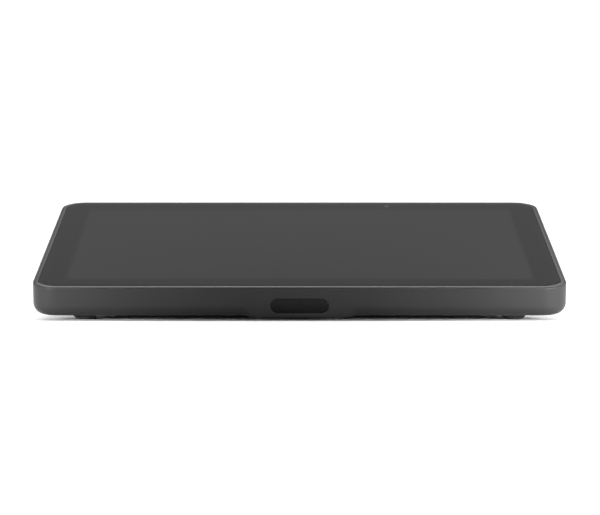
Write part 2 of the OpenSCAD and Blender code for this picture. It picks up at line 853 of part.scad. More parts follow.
module base_shell() {
    bay_x = bay_w / 2;
    groove_x = bay_x + tongue_w;
    jack_post = jack_z - jack_size[2] / 2 - jack_board_t;
    color(graphite) difference() {
        union() {
            difference() {
                translate([0, 0, foot_h]) linear_extrude(slab_l) base_outline(0);
                translate([0, 0, floor_z]) linear_extrude(slab_l) base_outline(base_wall);
            }
            translate([-bay_x - bay_wall, bay_y0 - bay_wall, foot_h])
                cube([bay_w + 2 * bay_wall, bay_l + bay_wall - eps, bay_z1 + bay_ceiling - foot_h]);
            insert_places() translate([0, 0, foot_h])
                cylinder(r = insert_boss, h = insert_h + 2);
            base_screw_places() translate([0, 0, foot_h]) cylinder(r = 4.4, h = slab_l);
            io_screw_places() translate([0, 0, foot_h]) cylinder(r = 3, h = io_z - foot_h);
            for (y = [-7, 7]) translate([base_w / 2 - base_wall - 10, jack_y + y, foot_h])
                cylinder(r = 2.2, h = jack_post - foot_h);
        }
        over_underside();
        // cable bay, its mouth, the cover's grooves and the cable exit
        translate([-bay_x, bay_y0, foot_h - 1])
            cube([bay_w, bay_l - base_wall, bay_z1 - foot_h + 1]);
        translate([-bay_x, bay_y0, foot_h - 1]) cube([bay_w, bay_l + 1, groove_z1 - foot_h + 1]);
        translate([-groove_x, bay_y0, groove_z0])
            cube([2 * groove_x, bay_l + 1, groove_z1 - groove_z0]);
        translate([-exit_w / 2, base_y1 - base_wall - 1, foot_h])
            cube([exit_w, base_wall + 2, exit_h]);
        // windows for the sockets and the bore of the reset button
        socket_window(usb_x, usb_size);
        socket_window(video_x, video_size);
        socket_window(power_x, power_size);
        translate([reset_x, bay_y0 + 1, reset_z]) rotate([90, 0, 0])
            cylinder(r = reset_r + reset_fit, h = bay_wall + 2);
        // inserts, screws, feet
        insert_places() translate([0, 0, foot_h - 1])
            cylinder(r = insert_out + snug, h = insert_h + 1);
        base_screw_places() translate([0, 0, foot_h - 1]) {
            cylinder(r = screw_r + 0.2, h = slab_l);
            cylinder(r = screw_head_r + 0.3, h = screw_head_h + head_sink + 1);
        }
        io_screw_places() translate([0, 0, io_z - 3]) cylinder(r = 1, h = 4);
        four([-foot_x, foot_x], [foot_y0, foot_y1]) translate([0, 0, foot_h - 1])
            cylinder(r = spigot_r + snug, h = spigot_h + 1);
        // headphone socket, lock slot, blank plate, vents
        translate([base_w / 2 - base_wall - 1, jack_y, jack_z]) rotate([0, 90, 0])
            cylinder(r = jack_nose_r + fit, h = base_wall + 2);
        lock_cut(base_wall + 2);
        translate([-26, base_y0 + 36, foot_h - 1]) cube([52, 20, 1.4]);
        vent_slots();
    }
}

module socket_window(x, size) {
    translate([x - size[0] / 2 - fit, bay_y0 - bay_wall - 1, io_top - fit])
        cube([size[0] + 2 * fit, bay_wall + 2, size[2] + 2 * fit]);
}

module lock_cut(depth) {
    translate([-base_w / 2 - 1, lock_y - lock_slot[0] / 2, lock_z - lock_slot[1] / 2])
        cube([depth, lock_slot[0], lock_slot[1]]);
}

module base_screws() {
    head_z = foot_h + head_sink;
    color(steel) for (y = base_screw_ys) four([-base_screw_x, base_screw_x], [y])
        translate([0, 0, head_z]) screw_up(
            screw_head_r, screw_head_h, screw_r, under(y) + pilot_h - 0.5 - head_z - screw_head_h);
}

module cable_cover() {
    x = cover_w / 2;
    y = bay_y0 + cover_gap;
    grip_l = 22;
    color(graphite) difference() {
        union() {
            translate([-x, y, cover_z]) cube([cover_w, cover_l, cover_t]);
            translate([-x - tongue_w, y, tongue_z])
                cube([cover_w + 2 * tongue_w, cover_l - base_wall, tongue_t]);
        }
        // finger grip: a shallow pocket with ribs across it
        difference() {
            translate([-grip_l / 2, y + cover_l - 20, cover_z - 1]) cube([grip_l, 12, 1.8]);
            for (i = [1 : 3]) translate([-grip_l / 2 - 1, y + cover_l - 20 + 3 * i - 0.5, cover_z])
                cube([grip_l + 2, 1, 2]);
        }
    }
}

// Rubber lining of the cable exit, open at the bottom
module cable_grommet() {
    t = base_wall + 2 * grommet_t;
    y = base_y1 - base_wall - grommet_t;
    z = groove_z1;
    h = foot_h + exit_h - z;
    color([0.06, 0.06, 0.06]) difference() {
        union() {
            translate([-exit_w / 2 + fit, base_y1 - base_wall, z])
                cube([exit_w - 2 * fit, base_wall, h - fit]);
            translate([-exit_w / 2 - 1.5, y, z]) cube([exit_w + 3, grommet_t, h + 1.5]);
        }
        translate([-exit_w / 2 + grommet_t, y - 1, z - 1])
            cube([exit_w - 2 * grommet_t, t, h - grommet_t + 1]);
    }
}

// Bar with three hooks that holds the cables inside the bay
module cable_anchor() {
    y = bay_y0 + bay_l - base_wall - 14;
    color([0.06, 0.06, 0.06]) difference() {
        translate([-19, y, bay_z1 - 8]) cube([38, 5, 8]);
        for (x = [-12, 0, 12]) {
            translate([x, y + 6, bay_z1 - 4.6]) rotate([90, 0, 0]) cylinder(r = 2.2, h = 7);
            translate([x - 1.4, y - 1, bay_z1 - 9]) cube([2.8, 7, 5]);
        }
    }
}

// Steel plate on the floor, round the socket board
module ballast_plate() {
    y = base_y0 + 30;
    color([0.5, 0.5, 0.52]) difference() {
        translate([-base_w / 2 + 34, y, floor_z]) cube([base_w - 68, io_y1 - y - 2, ballast_t]);
        translate([-io_w / 2 - 1, io_y0 - 1, floor_z - 1]) cube([io_w + 2, io_l + 2, ballast_t + 2]);
        insert_places() translate([0, 0, floor_z - 1]) cylinder(r = insert_boss + 0.3, h = 4);
    }
}

// ---- Feet, inserts and small plates

module feet(y) {
    color([0.05, 0.05, 0.05]) for (s = [-1, 1]) translate([s * foot_x, y, 0]) {
        intersection() {
            translate([0, 0, foot_c]) sphere(dome_r);
            cylinder(r = dome_r, h = foot_h);
        }
        translate([0, 0, foot_h - 0.5]) cylinder(r = spigot_r, h = spigot_h + 0.5 - 0.05);
    }
}

module front_feet() {
    feet(foot_y0);
}

module rear_feet() {
    feet(foot_y1);
}

module mount_inserts() {
    color([0.8, 0.65, 0.3]) insert_places() translate([0, 0, foot_h]) difference() {
        cylinder(r = insert_out, h = insert_h);
        translate([0, 0, -1]) cylinder(r = insert_r, h = insert_h + 2);
    }
}

module lock_plate() {
    color(steel) difference() {
        translate([-base_w / 2 + base_wall, lock_y - 8, lock_z - 6]) cube([lock_t, 16, 12]);
        lock_cut(base_wall + lock_t + 2);
    }
}

module id_plate() {
    color([0.3, 0.3, 0.31]) translate([0, base_y0 + 36.2, foot_h + 0.1])
        linear_extrude(0.3) rounded(51.6, 19.6, 1);
}

cover_glass();
border_mask();
touch_sensor();
screen_panel();
panel_tray();
panel_pads();
glass_gasket();
trim_ring();
display_housing();
mid_plate();
chassis_screws();
sensor_lens();
lens_gasket();
sensor_board();
motion_sensor();
sensor_bracket();
light_sensor();
main_board();
shield_can();
processor();
memory_chips();
wireless_module();
antennas();
board_connectors();
thermal_pad();
heat_spreader();
board_screws();
screen_flex();
touch_flex();
sensor_flex();
io_flex();
io_board();
usb_socket();
video_socket();
power_socket();
reset_switch();
reset_button();
audio_board();
audio_jack();
audio_lead();
io_screws();
ballast_plate();
base_shell();
base_screws();
cable_cover();
cable_grommet();
cable_anchor();
front_feet();
rear_feet();
mount_inserts();
lock_plate();
id_plate();
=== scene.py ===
import json
import math

import bmesh
import bpy
import numpy as np
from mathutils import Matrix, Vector

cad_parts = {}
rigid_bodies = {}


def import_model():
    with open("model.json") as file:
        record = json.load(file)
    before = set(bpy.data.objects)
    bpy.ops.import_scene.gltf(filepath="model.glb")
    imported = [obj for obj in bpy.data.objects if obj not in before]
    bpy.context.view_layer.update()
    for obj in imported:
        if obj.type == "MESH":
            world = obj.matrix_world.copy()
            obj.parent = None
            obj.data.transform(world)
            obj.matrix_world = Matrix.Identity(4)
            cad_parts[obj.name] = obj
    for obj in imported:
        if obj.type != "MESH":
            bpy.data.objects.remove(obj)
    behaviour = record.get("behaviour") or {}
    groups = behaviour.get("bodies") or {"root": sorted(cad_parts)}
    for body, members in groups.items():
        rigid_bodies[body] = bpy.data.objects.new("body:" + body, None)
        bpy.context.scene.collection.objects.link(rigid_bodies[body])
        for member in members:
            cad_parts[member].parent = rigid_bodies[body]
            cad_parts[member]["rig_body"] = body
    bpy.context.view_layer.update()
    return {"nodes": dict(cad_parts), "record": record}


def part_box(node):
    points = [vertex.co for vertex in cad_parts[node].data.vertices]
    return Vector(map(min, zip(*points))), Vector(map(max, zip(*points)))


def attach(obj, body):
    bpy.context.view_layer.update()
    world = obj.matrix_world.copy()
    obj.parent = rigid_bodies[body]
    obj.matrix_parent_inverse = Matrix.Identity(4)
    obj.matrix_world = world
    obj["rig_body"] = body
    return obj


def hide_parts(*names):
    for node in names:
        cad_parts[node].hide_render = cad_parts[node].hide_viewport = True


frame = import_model()
record = frame["record"]
nodeSlot = {s["node"]: s["material_slot"] for s in record["subparts"]}
mm = 0.001

# the slab's own frame: x to the right, u back along the glass, w out of the glass

slab = {
    "tilt": math.radians(14),
    "thick": 14.3 * mm,
    "corner": 12 * mm,
    "belly": 5.4 * mm,
    "chamfer": 0.4 * mm,
    "land": 1 * mm,
    "trim": 0.9 * mm,
    "trimGap": 0.1 * mm,
    "wall": 2 * mm,
}


def placeSlab():
    # the slab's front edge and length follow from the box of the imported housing
    lo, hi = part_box("display_housing")
    c, s = math.cos(slab["tilt"]), math.sin(slab["tilt"])
    slab["halfWidth"] = hi.x
    slab["y"] = lo.y - slab["chamfer"] * s
    reach = hi.y - slab["y"] - slab["belly"] - (slab["thick"] - slab["belly"]) * s
    slab["length"] = reach / c + slab["belly"]
    slab["z"] = hi.z - (slab["length"] - slab["chamfer"]) * s
    print("slab", round(slab["length"] / mm, 2), "long, glass plane starts at", round(slab["z"] / mm, 2))


placeSlab()


def toWorld(p):
    # turns (x, u, w) rows by the tilt about x and moves them to the slab's front edge
    c, s = math.cos(slab["tilt"]), math.sin(slab["tilt"])
    x, u, w = p[..., 0], p[..., 1], p[..., 2]
    return np.stack([x, slab["y"] + u * c - w * s, slab["z"] + u * s + w * c], -1)


# mesh helpers

def placeObject(name, mesh, sharp):
    # the mesh as an object in the scene, smooth but for edges that bend more than sharp degrees
    mesh.polygons.foreach_set("use_smooth", np.ones(len(mesh.polygons), bool))
    mesh.set_sharp_from_angle(angle=math.radians(sharp))
    piece = bpy.data.objects.new(name, mesh)
    bpy.context.scene.collection.objects.link(piece)
    return piece


def makePiece(name, points, faces, body, node, slotName, sharp):
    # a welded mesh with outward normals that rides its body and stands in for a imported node
    mesh = bpy.data.meshes.new(name)
    corners = np.asarray(points, float).reshape(-1, 3).tolist()
    mesh.from_pydata(corners, [], [list(map(int, f)) for f in faces])
    mesh.update()
    bm = bmesh.new()
    bm.from_mesh(mesh)
    bmesh.ops.remove_doubles(bm, verts=bm.verts, dist=1e-6)
    bmesh.ops.recalc_face_normals(bm, faces=bm.faces)
    bm.to_mesh(mesh)
    bm.free()
    piece = placeObject(name, mesh, sharp)
    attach(piece, body)
    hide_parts(node)
    piece.data.materials.append(finishes[slotName])
    return piece


def gridFaces(rows, cols, closeRows=False, closeCols=False, first=0):
    # quads of a rows x cols grid of points stored row by row
    r = np.arange(rows if closeRows else rows - 1)
    c = np.arange(cols if closeCols else cols - 1)
    r, c = np.meshgrid(r, c, indexing="ij")
    r2, c2 = (r + 1) % rows, (c + 1) % cols
    quads = np.stack([r * cols + c, r * cols + c2, r2 * cols + c2, r2 * cols + c], -1)
    return quads.reshape(-1, 4) + first


def arcPoints(centre, radius, start, end, count):
    # count points on an arc, centre + radius * (cos, sin), angles in degrees
    a = np.radians(np.linspace(start, end, count))
    return np.stack([centre[0] + radius * np.cos(a), centre[1] + radius * np.sin(a)], -1)


def outlinePath(frontXs, sideCount, cornerCount):
    # a rounded rectangle walked once round: each point with its inward normal
    # corners are arcs, sides are even steps, and the front side takes its own x values
    half, length, r = slab["halfWidth"], slab["length"], slab["corner"]
    x = half - r
    even = np.linspace(0, 1, sideCount + 2)[1:-1]
    points, normals = [], []

    def side(a, b, inward, steps):
        a, b = np.array(a), np.array(b)
        points.append(a + (b - a) * steps[:, None])
        normals.append(np.tile(inward, (len(steps), 1)))

    def turn(cx, cy, start):
        a = np.radians(np.linspace(start, start + 90, cornerCount))
        d = np.stack([np.cos(a), np.sin(a)], -1)
        points.append(np.array([cx, cy]) + r * d)
        normals.append(-d)

    side([-x, 0], [x, 0], [0, 1], (np.asarray(frontXs) + x) / (2 * x))
    turn(x, r, -90)
    side([half, r], [half, length - r], [-1, 0], even)
    turn(x, length - r, 0)
    side([x, length], [-x, length], [0, -1], even)
    turn(-x, length - r, 90)
    side([-half, length - r], [-half, r], [1, 0], even)
    turn(-x, r, 180)
    return np.concatenate(points), np.concatenate(normals)


def sweepLoop(path, normal, inset, height):
    # carries a profile along the outline: point = path + inset * inward normal, at its height
    # inset and height are (profile, path) arrays, so the profile may change along the way
    flat = path[None] + inset[..., None] * normal[None]
    return np.concatenate([flat, height[..., None]], -1)


# finishes

finishes = {}


def nodeLink(tree, kind, inputs=None, **settings):
    # a shader node with its settings; an input is either a value or another node's output
    node = tree.nodes.new(kind)
    for key, value in settings.items():
        setattr(node, key, value)
    for key, value in (inputs or {}).items():
        socket = node.inputs[key]
        if isinstance(value, bpy.types.NodeSocket):
            tree.links.new(value, socket)
        else:
            socket.default_value = value
    return node


def newFinish(name, colour, rough, metal=0.0, specular=0.5, coat=0.0):
    # a principled finish, kept by name, with its plain values set on the shader
    mat = bpy.data.materials.new(name)
    mat.use_nodes = True
    shader = mat.node_tree.nodes["Principled BSDF"]
    shader.inputs["Base Color"].default_value = (*colour, 1)
    shader.inputs["Roughness"].default_value = rough
    shader.inputs["Metallic"].default_value = metal
    shader.inputs["Specular IOR Level"].default_value = specular
    shader.inputs["Coat Weight"].default_value = coat
    shader.inputs["Coat Roughness"].default_value = 0.1
    mat.diffuse_color = (*colour, 1)
    finishes[name] = mat
    return mat.node_tree, shader


def objectNoise(tree, scale, detail=3.0, stretch=(1, 1, 1), rough=0.5):
    # noise on the piece's own coordinates; scale is in cells a metre
    place = nodeLink(tree, "ShaderNodeTexCoord")
    mapped = nodeLink(tree, "ShaderNodeMapping", {"Vector": place.outputs["Object"], "Scale": stretch})
    return nodeLink(tree, "ShaderNodeTexNoise", {
        "Vector": mapped.outputs[0], "Scale": scale, "Detail": detail, "Roughness": rough})


def remap(tree, value, low, high, fromLow=0.3, fromHigh=0.7):
    # a straight line from (fromLow, low) to (fromHigh, high), held level outside it
    node = nodeLink(tree, "ShaderNodeMapRange", {
        "Value": value, "From Min": fromLow, "From Max": fromHigh, "To Min": low, "To Max": high})
    return node.outputs[0]


def mixColour(tree, factor, a, b):
    # a + (b - a) * factor, where a and b are plain colours or outputs
    node = nodeLink(tree, "ShaderNodeMix", {"Factor": factor}, data_type="RGBA")
    for slot, value in ((6, a), (7, b)):
        if isinstance(value, tuple):
            node.inputs[slot].default_value = (*value, 1)
        else:
            tree.links.new(value, node.inputs[slot])
    return node.outputs[2]


def shaded(colour, k):
    # each channel times k, at most 1
    return tuple(min(1, c * k) for c in colour)


def grainy(name, colour, rough, metal=0.0, specular=0.5, coat=0.0, grain=1200, bump=0.05,
           bumpDepth=0.04 * mm, tone=0.12, roughSpread=0.06, stretch=(1, 1, 1)):
    # a plain finish with fine grain: cloudy tone, patchy roughness and a small bump
    tree, shader = newFinish(name, colour, rough, metal, specular, coat)
    fine = objectNoise(tree, grain, 2, stretch)
    soft = objectNoise(tree, 25, 3)
    both = nodeLink(tree, "ShaderNodeMath", {0: fine.outputs[0], 1: soft.outputs[0]}, operation="ADD")
    half = nodeLink(tree, "ShaderNodeMath", {0: both.outputs[0], 1: 0.5}, operation="MULTIPLY")
    tinted = mixColour(tree, remap(tree, half.outputs[0], 0, 1, 0.4, 0.6),
                       shaded(colour, 1 - tone), shaded(colour, 1 + tone))
    tree.links.new(tinted, shader.inputs["Base Color"])
    spread = remap(tree, soft.outputs[0], max(0, rough - roughSpread), min(1, rough + roughSpread))
    tree.links.new(spread, shader.inputs["Roughness"])
    relief = nodeLink(tree, "ShaderNodeBump", {
        "Height": fine.outputs[0], "Strength": bump, "Distance": bumpDepth})
    tree.links.new(relief.outputs[0], shader.inputs["Normal"])
    return tree, shader


def circuitBoard(name, colour):
    # solder mask over square-cornered copper runs: thin lighter lines at even steps of a
    # Voronoi pattern's city-block distance, with small tinned pads at its cells' middles
    tree, shader = grainy(name, colour, 0.35, coat=0.3, grain=3000, bump=0.03, tone=0.08)
    place = nodeLink(tree, "ShaderNodeTexCoord")
    cells = nodeLink(tree, "ShaderNodeTexVoronoi", {
        "Vector": place.outputs["Object"], "Scale": 260.0}, distance="MANHATTAN", feature="F1")
    ridge = nodeLink(tree, "ShaderNodeMath", {0: cells.outputs["Distance"], 1: 9.0}, operation="MULTIPLY")
    wave = nodeLink(tree, "ShaderNodeMath", {0: ridge.outputs[0]}, operation="FRACT")
    line = remap(tree, wave.outputs[0], 0, 1, 0.42, 0.5)
    lined = mixColour(tree, line, shaded(colour, 0.75), shaded(colour, 1.5))
    pads = remap(tree, cells.outputs["Distance"], 1, 0, 0.055, 0.075)
    tinned = mixColour(tree, pads, lined, (0.5, 0.48, 0.42))
    tree.links.new(tinned, shader.inputs["Base Color"])


screen = {
    "width": 212.4 * mm,
    "length": 132.7 * mm,
    "front": 14.6 * mm,                      # from the slab's front edge
    "edge": 1.2 * mm,                        # half the width of its soft edge
    "border": (0.0045, 0.0045, 0.0048),
    "colour": (0.0125, 0.0125, 0.0128),
    "rough": 0.06,
    "spotPlace": (44.4 * mm, 74.65 * mm, 0),  # from the screen's middle
    "spotRadius": 1.1 * mm,
    "spotEdge": 0.2 * mm,
    "spot": (0.09, 0.09, 0.092),
}


def glassFinish():
    # near-black gloss; the screen area is a shade lighter than the border, with a soft edge
    # edge distance of a box: the larger of |x| - half width and |u| - half length
    look = screen
    tree, shader = newFinish("front_glass", look["border"], look["rough"])
    place = nodeLink(tree, "ShaderNodeTexCoord")
    centre = toWorld(np.array([0, look["front"] + look["length"] / 2, 0]))
    local = nodeLink(tree, "ShaderNodeMapping", {
        "Vector": place.outputs["Object"], "Location": tuple(centre), "Rotation": (slab["tilt"], 0, 0)},
        vector_type="TEXTURE")
    split = nodeLink(tree, "ShaderNodeSeparateXYZ", {0: local.outputs[0]})
    sides = []
    for axis, half in ((0, look["width"] / 2), (1, look["length"] / 2)):
        size = nodeLink(tree, "ShaderNodeMath", {0: split.outputs[axis]}, operation="ABSOLUTE")
        off = nodeLink(tree, "ShaderNodeMath", {0: size.outputs[0], 1: half}, operation="SUBTRACT")
        sides.append(off.outputs[0])
    far = nodeLink(tree, "ShaderNodeMath", {0: sides[0], 1: sides[1]}, operation="MAXIMUM")
    inside = remap(tree, far.outputs[0], 1, 0, -look["edge"], look["edge"])
    colour = mixColour(tree, inside, look["border"], look["colour"])
    # the light sensor's opening in the border print: a small lighter disc by distance from its middle
    away = nodeLink(tree, "ShaderNodeVectorMath", {0: local.outputs[0], 1: look["spotPlace"]},
                    operation="DISTANCE")
    inner, outer = look["spotRadius"] - look["spotEdge"], look["spotRadius"] + look["spotEdge"]
    spot = remap(tree, away.outputs["Value"], 1, 0, inner, outer)
    tree.links.new(mixColour(tree, spot, colour, look["spot"]), shader.inputs["Base Color"])
    smear = objectNoise(tree, 14, 4, (1, 1, 1), 0.6)
    wiped = remap(tree, smear.outputs[0], look["rough"] - 0.015, look["rough"] + 0.025)
    tree.links.new(wiped, shader.inputs["Roughness"])


def makeFinishes():
    # name, colour and roughness, then metal, specular and coat where they matter
    glassFinish()
    grainy("graphite_shell", (0.0205, 0.0205, 0.021), 0.36, 0, 0.13, grain=2600, bump=0.12,
           bumpDepth=0.03 * mm, tone=0.08, roughSpread=0.03)
    grainy("trim_metal", (0.062, 0.062, 0.064), 0.4, 1.0, grain=900, bump=0.03,
           stretch=(0.15, 1, 1), tone=0.05)
    grainy("sensor_window", (0.005, 0.005, 0.0055), 0.22, 0, 0.12, grain=500, bump=0.004, tone=0.2)
    grainy("base_plastic", (0.04, 0.04, 0.041), 0.58, 0, 0.25, grain=1500, bump=0.35,
           bumpDepth=0.06 * mm, tone=0.1)
    grainy("foot_rubber", (0.028, 0.028, 0.028), 0.75, 0, 0.2, grain=900, bump=0.3, tone=0.15)
    grainy("black_rubber", (0.016, 0.016, 0.016), 0.7, 0, 0.3, grain=1200, bump=0.25, tone=0.15)
    grainy("foam", (0.02, 0.02, 0.02), 0.9, 0, 0.2, grain=2500, bump=0.6, tone=0.2)
    grainy("black_ink", (0.006, 0.006, 0.006), 0.5, grain=800, bump=0.02)
    grainy("touch_film", (0.03, 0.03, 0.032), 0.2, coat=0.6, grain=700, bump=0.01)
    grainy("screen", (0.02, 0.02, 0.021), 0.25, coat=0.4, grain=4000, bump=0.04)
    grainy("stamped_steel", (0.42, 0.42, 0.43), 0.36, 1.0, grain=800, bump=0.12, stretch=(0.1, 1, 1))
    grainy("alloy_plate", (0.5, 0.5, 0.51), 0.4, 1.0, grain=700, bump=0.12, stretch=(1, 0.1, 1))
    grainy("screw_steel", (0.45, 0.45, 0.46), 0.32, 1.0, grain=2500, bump=0.1)
    grainy("screw_black", (0.03, 0.03, 0.03), 0.38, 0.9, grain=2500, bump=0.15)
    grainy("socket_steel", (0.55, 0.55, 0.56), 0.22, 1.0, grain=1800, bump=0.05)
    grainy("ballast_steel", (0.16, 0.16, 0.165), 0.5, 0.4, grain=600, bump=0.15)
    grainy("insert_brass", (0.62, 0.42, 0.16), 0.3, 1.0, grain=2200, bump=0.1)
    grainy("chip_black", (0.02, 0.02, 0.02), 0.5, grain=2500, bump=0.25)
    grainy("connector_nylon", (0.6, 0.57, 0.5), 0.45, grain=1800, bump=0.1)
    grainy("amber_film", (0.42, 0.19, 0.035), 0.3, coat=0.4, grain=1200, bump=0.05,
           stretch=(1, 0.1, 1))
    grainy("thermal_pad", (0.28, 0.34, 0.46), 0.85, grain=1800, bump=0.3)
    grainy("graphite_sheet", (0.05, 0.05, 0.055), 0.45, 0.5, grain=1500, bump=0.2)
    grainy("button_grey", (0.36, 0.36, 0.37), 0.45, grain=2200, bump=0.1)
    grainy("lead_grey", (0.1, 0.1, 0.1), 0.55, grain=2200, bump=0.15)
    grainy("blank_label", (0.11, 0.11, 0.112), 0.48, 0.2, grain=900, bump=0.1)
    circuitBoard("board_green", (0.016, 0.1, 0.055))
    print("finishes made:", len(finishes))


makeFinishes()
for name, obj in frame["nodes"].items():
    obj.data.materials.clear()
    obj.data.materials.append(finishes[nodeSlot[name]])

# housing: one shell whose lower edge changes radius at the chin, with a pill opening

housing = {
    "chinHalf": 20 * mm,
    "chinBlend": 6 * mm,
    "chinRadius": 1.2 * mm,
    "bellyEase": 1.05,
    "bellySteps": 19,
    "sideBelly": 4.2 * mm,
    "edgeRound": 0.1 * mm,
    "capInset": 11.4 * mm,
    "floor": 1.4 * mm,
    "stepDepth": 1.9 * mm,
    "pillLength": 26.2 * mm,
    "pillHeight": 6.7 * mm,
    "pillUp": 5.65 * mm,
    "pillEdge": 0.22 * mm,
    "patchHalf": 16 * mm,     # the square of wall that the pill opening is cut in
    "patchRows": 16,
    "patchOut": (0.25, 0.975),   # its top and bottom as shares of the wall, outside
    "patchIn": (0.12, 0.97),     # and inside
}


def smoothStep(t):
    # 3 t^2 - 2 t^3 between 0 and 1
    t = np.clip(t, 0, 1)
    return t * t * (3 - 2 * t)


def chinWeight(path):
    # 1 over the chin, 0 away from it, only on the front side
    off = (np.abs(path[:, 0]) - housing["chinHalf"]) / housing["chinBlend"]
    return np.where(path[:, 1] < 1e-9, smoothStep(1 - off), 0)


def housingFrontXs():
    # even steps across the chin and the pill, and longer ones out to the corners
    x = slab["halfWidth"] - slab["corner"]
    near = np.arange(-30, 30.5, 1) * mm
    far = np.linspace(34 * mm, x, 12)
    return np.concatenate([-far[::-1], near, far])


def bellyCurve(steps):
    # a quarter turn whose angle grows as a power of the walked length, so it starts gently
    # returns inset and height from the bottom for a turn one unit deep
    t = np.linspace(0, 1, 200)
    angle = math.pi / 2 * t ** housing["bellyEase"]
    inset = np.concatenate([[0], np.cumsum((np.sin(angle[1:]) + np.sin(angle[:-1])) / 2)])
    fall = np.concatenate([[0], np.cumsum((np.cos(angle[1:]) + np.cos(angle[:-1])) / 2)])
    pick = np.linspace(0, 1, steps)
    scale = inset[-1]
    return np.interp(pick, t, inset) / scale, (fall[-1] - np.interp(pick, t, fall)) / scale


def outerProfile(low):
    # inset and height from the lip down the side, round the belly and along the underside
    # low is the belly's radius at each point of the outline; the last value is the row
    # on which the patch for the pill opening starts
    c, e, t = slab["chamfer"], housing["edgeRound"], slab["thick"]
    lip = c + slab["land"]
    rows = [(lip, -housing["stepDepth"]), (lip, -e), (lip - e, 0), (c + e, 0)]
    rows += [(c - 0.3 * e, -0.3 * e), (e * 0.5, -c + 0.5 * e), (0, -c - e)]
    inset = [np.full(len(low), r[0]) for r in rows]
    height = [np.full(len(low), r[1]) for r in rows]
    curveIn, curveUp = bellyCurve(housing["bellySteps"])
    top, bottom = -c - e, -t + low * curveUp[0]
    patch = np.linspace(*housing["patchOut"], housing["patchRows"] + 1)
    above = np.linspace(0, patch[0], 4)[1:]
    firstRow = len(inset) + len(above) - 1
    for f in np.concatenate([above, patch[1:], [1.0]]):
        inset.append(np.zeros(len(low)))
        height.append(top + (bottom - top) * f)
    for k, up in zip(curveIn[1:], curveUp[1:]):
        inset.append(low * k)
        height.append(-t + low * up)
    cap = housing["capInset"]
    for f in (0.35, 1.0):
        inset.append(low + (cap - low) * f)
        height.append(np.full(len(low), -t))
    return np.array(inset), np.array(height), firstRow


def innerProfile(low):
    # the same walk on the inside, one wall further in, round a plain arc
    w, t, f = slab["wall"], slab["thick"], housing["floor"]
    rIn = np.maximum(low - w, 0.3 * mm)
    inset = [np.full(len(low), w)]
    height = [np.full(len(low), -housing["stepDepth"])]
    top, bottom = -housing["stepDepth"], -t + f + rIn
    firstRow = len(inset)
    for k in np.append(np.linspace(*housing["patchIn"], housing["patchRows"] + 1), 1.0):
        inset.append(np.full(len(low), w))
        height.append(top + (bottom - top) * k)
    for a in np.radians(np.linspace(0, 90, 9)[1:]):
        inset.append(w + rIn * (1 - math.cos(a)))
        height.append(-t + f + rIn * (1 - math.sin(a)))
    inset.append(np.full(len(low), housing["capInset"]))
    height.append(np.full(len(low), -t + f))
    return np.array(inset), np.array(height), firstRow


def pillPoint(direction, length, height, centre):
    # where a ray from the centre meets the pill: on a straight side, or on a round end
    h, l = height / 2, (length - height) / 2
    d = direction / np.linalg.norm(direction, axis=1, keepdims=True)
    reach = h / np.maximum(np.abs(d[:, 1]), 1e-9)
    root = np.sqrt(np.maximum(h * h - (l * d[:, 1]) ** 2, 0))
    ends = l * np.abs(d[:, 0]) + root
    t = np.where(np.abs(reach * d[:, 0]) <= l, reach, ends)
    return centre + d * t[:, None]


def ringOfHole(r0, r1, c0, c1, cols, first):
    # indices of the grid points round a rectangular hole, in order
    top = [r0 * cols + c for c in range(c0, c1)]
    right = [r * cols + c1 for r in range(r0, r1)]
    low = [r1 * cols + c for c in range(c1, c0, -1)]
    left = [r * cols + c0 for r in range(r1, r0, -1)]
    return np.array(top + right + low + left) + first


def wallFaces(rows, cols, first, rowRange, colRange):
    # the closed grid's quads without those of the patch
    quads = gridFaces(rows, cols, closeCols=True, first=first).reshape(rows - 1, cols, 4)
    keep = np.ones((rows - 1, cols), bool)
    keep[rowRange[0]:rowRange[1], colRange[0]:colRange[1]] = False
    return quads[keep]


def bellyRadii(path):
    # the belly's radius along the outline: small under the chin, tighter round the corners
    # and along the sides, and full along the rest
    k = chinWeight(path)
    low = slab["belly"] * (1 - k) + housing["chinRadius"] * k
    side = smoothStep((np.abs(path[:, 0]) - slab["halfWidth"] + slab["corner"]) / slab["corner"])
    return low * (1 - side) + housing["sideBelly"] * side


